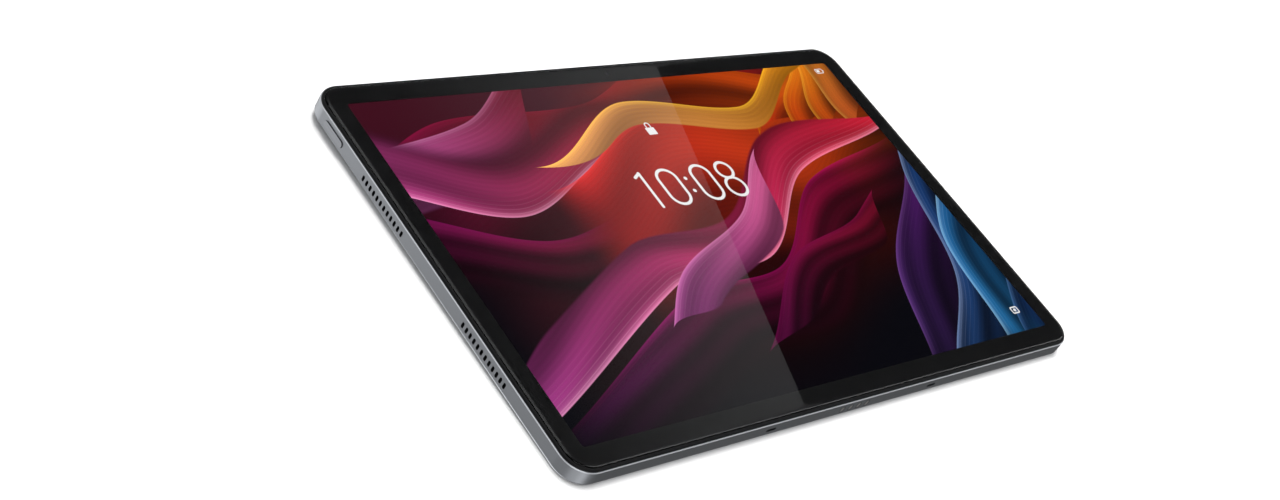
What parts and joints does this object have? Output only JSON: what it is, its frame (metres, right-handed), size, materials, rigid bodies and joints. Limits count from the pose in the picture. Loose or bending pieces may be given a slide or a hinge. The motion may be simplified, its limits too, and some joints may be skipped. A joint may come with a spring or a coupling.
{
  "type": "tablet computer",
  "caption": "Slim tablet computer lying on its back, with a grey metal shell, a rear band and camera plate, side speakers, a charging port, a corner headphone socket and working keys.",
  "frame": {"origin": "under the middle of the body, level with the outer face of the rear camera's trim ring", "axes": "+Z out of the screen, +X along the long side to the viewer's right, +Y to the long edge with the front camera"},
  "size_m": [0.2695, 0.1698, 0.0092],
  "materials": {
    "housing": "fine bead-blasted grey, bright chamfers",
    "textured_band": "satin grey with a fine diagonal weave",
    "camera_plate": "glossy grey, polished edge",
    "lens_trim": "black anodised, polished lip",
    "lens_window": "clear dark glass",
    "flash_ring": "bright thin ring",
    "flash_lens": "milky fresnel lens",
    "led": "yellow phosphor on a white base",
    "black_frame": "fine matt black",
    "cover_glass": "polished, rounded edge",
    "border_print": "black print under the glass",
    "clear_adhesive": "clear film",
    "lit_screen": "lit colour picture",
    "backlight": "white reflector in a thin frame",
    "graphite": "dull dark grey foil",
    "flex_circuit": "amber film with copper tracks",
    "camera_black": "matt black moulding",
    "battery_wrap": "dark laminated pouch",
    "circuit_board": "green solder mask",
    "chip_plastic": "black moulded package",
    "shield_steel": "dull stamped sheet",
    "port_steel": "drawn sheet",
    "port_black": "black moulding",
    "contact_gold": "thin gold plate",
    "contact_nickel": "dull nickel plate",
    "speaker_plastic": "fine matt black",
    "speaker_mesh": "woven dust mesh",
    "key_metal": "fine bead-blasted grey",
    "switch_metal": "stamped bracket and domes",
    "card_plastic": "black moulding",
    "cable_jacket": "thin black jacket",
    "screw_steel": "dark zinc"
  },
  "bodies": {
    "tablet": {"rear_cover": "housing", "antenna_panel": "textured_band", "camera_plate": "camera_plate", "camera_trim": "lens_trim", "camera_window": "lens_window", "flash_ring": "flash_ring", "flash_lens": "flash_lens", "flash_led": "led", "front_frame": "black_frame", "cover_glass": "cover_glass", "border_mask": "border_print", "display_adhesive": "clear_adhesive", "lcd_cell": "lit_screen", "backlight_unit": "backlight", "graphite_sheet": "graphite", "display_flex": "flex_circuit", "front_camera": "camera_black", "battery_left": "battery_wrap", "battery_right": "battery_wrap", "battery_board": "circuit_board", "battery_flex": "flex_circuit", "main_board": "circuit_board", "processor": "chip_plastic", "memory_chip": "chip_plastic", "storage_chip": "chip_plastic", "power_chip": "chip_plastic", "radio_chip": "chip_plastic", "processor_shield": "shield_steel", "power_shield": "shield_steel", "radio_shield": "shield_steel", "camera_module": "camera_black", "sub_board": "circuit_board", "sub_flex": "flex_circuit", "usb_shell": "port_steel", "usb_tongue": "port_black", "headphone_jack": "port_black", "jack_springs": "contact_gold", "contact_block": "port_black", "contacts": "contact_nickel", "speaker_top_left": "speaker_plastic", "speaker_bottom_left": "speaker_plastic", "speaker_top_right": "speaker_plastic", "speaker_bottom_right": "speaker_plastic", "speaker_meshes": "speaker_mesh", "power_switch": "switch_metal", "volume_switches": "switch_metal", "key_flex": "flex_circuit", "card_socket": "shield_steel", "microphones": "contact_gold", "antennas": "flex_circuit", "antenna_cable": "cable_jacket", "screws": "screw_steel"},
    "power_key": {"power_button": "key_metal"},
    "volume_key": {"volume_rocker": "key_metal"},
    "tray": {"card_tray": "key_metal", "memory_card": "card_plastic"},
    "focus_barrel": {"camera_barrel": "camera_black"}
  },
  "joints": [
    {"name": "power_press", "type": "slide", "parent": "tablet", "child": "power_key", "axis": [1, 0, 0], "range_m": [0, 0.00025], "stiffness_N_per_m": 2000, "springref_m": -0.0005},
    {"name": "volume_rock", "type": "hinge", "parent": "tablet", "child": "volume_key", "pos_m": [-0.092, 0.0824, 0.0049], "axis": [0, 0, 1], "range_deg": [-1, 1], "stiffness_Nm_per_rad": 0.6},
    {"name": "tray_pull", "type": "slide", "parent": "tablet", "child": "tray", "axis": [0, 1, 0], "range_m": [0, 0.016]},
    {"name": "focus_shift", "type": "slide", "parent": "tablet", "child": "focus_barrel", "axis": [0, 0, -1], "range_m": [0, 0.0003], "stiffness_N_per_m": 100, "springref_m": -0.0003}
  ]
}
